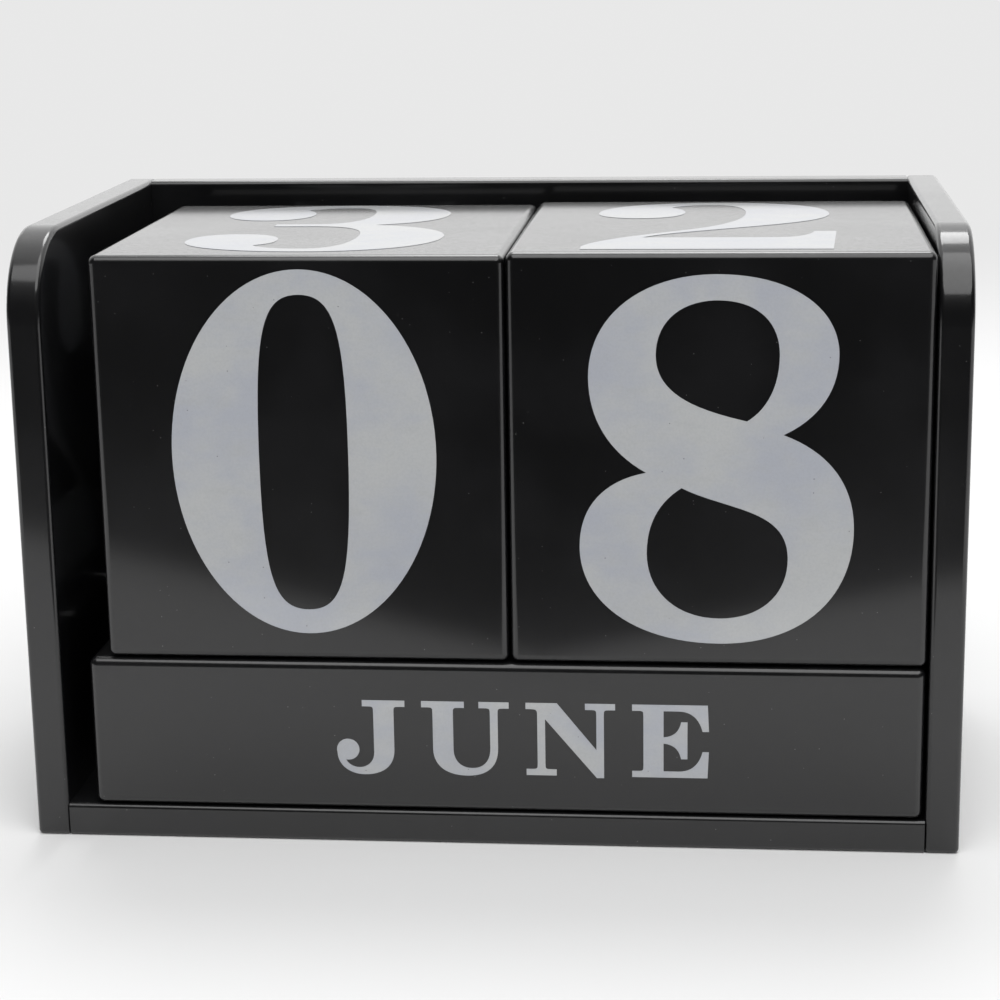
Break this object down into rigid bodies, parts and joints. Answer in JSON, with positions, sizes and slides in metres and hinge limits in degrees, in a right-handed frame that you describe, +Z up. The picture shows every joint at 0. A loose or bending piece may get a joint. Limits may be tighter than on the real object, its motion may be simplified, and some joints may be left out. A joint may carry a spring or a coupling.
{
  "type": "perpetual desk calendar",
  "caption": "Black block calendar: open holder, two number cubes that lift out to be turned, and square month bars that slide out at the front.",
  "frame": {"origin": "on the floor under the middle of the holder", "axes": "+X along the calendar's width to its right as the reader sees it, the front with the date faces -Y, +Z up"},
  "size_m": [0.15, 0.0821, 0.099],
  "materials": {
    "holder_paint": "satin black paint on MDF board",
    "cube_paint": "satin black paint on MDF board",
    "bar_paint": "satin black paint on wood",
    "grey_print": "pale grey screen print",
    "brad_steel": "plain steel wire"
  },
  "bodies": {
    "holder": {"left_side_panel": "holder_paint", "right_side_panel": "holder_paint", "base_panel": "holder_paint", "back_panel": "holder_paint", "base_brads": "brad_steel", "back_brads": "brad_steel"},
    "left_cube": {"left_cube_front_board": "cube_paint", "left_cube_back_board": "cube_paint", "left_cube_left_board": "cube_paint", "left_cube_right_board": "cube_paint", "left_cube_top_board": "cube_paint", "left_cube_bottom_board": "cube_paint", "left_cube_numerals": "grey_print"},
    "right_cube": {"right_cube_front_board": "cube_paint", "right_cube_back_board": "cube_paint", "right_cube_left_board": "cube_paint", "right_cube_right_board": "cube_paint", "right_cube_top_board": "cube_paint", "right_cube_bottom_board": "cube_paint", "right_cube_numerals": "grey_print"},
    "front_bar": {"front_month_bar": "bar_paint", "front_month_names": "grey_print"},
    "middle_bar": {"middle_month_bar": "bar_paint", "middle_month_names": "grey_print"},
    "rear_bar": {"rear_month_bar": "bar_paint", "rear_month_names": "grey_print"}
  },
  "joints": [
    {"name": "left_cube_lift", "type": "slide", "parent": "holder", "child": "left_cube", "axis": [0, 0, 1], "range_m": [0, 0.075]},
    {"name": "right_cube_lift", "type": "slide", "parent": "holder", "child": "right_cube", "axis": [0, 0, 1], "range_m": [0, 0.075]},
    {"name": "rear_bar_pull", "type": "slide", "parent": "holder", "child": "rear_bar", "axis": [0, -1, 0], "range_m": [0, 0.04]},
    {"name": "middle_bar_pull", "type": "slide", "parent": "rear_bar", "child": "middle_bar", "axis": [0, -1, 0], "range_m": [0, 0.03]},
    {"name": "front_bar_pull", "type": "slide", "parent": "middle_bar", "child": "front_bar", "axis": [0, -1, 0], "range_m": [0, 0.03]}
  ]
}
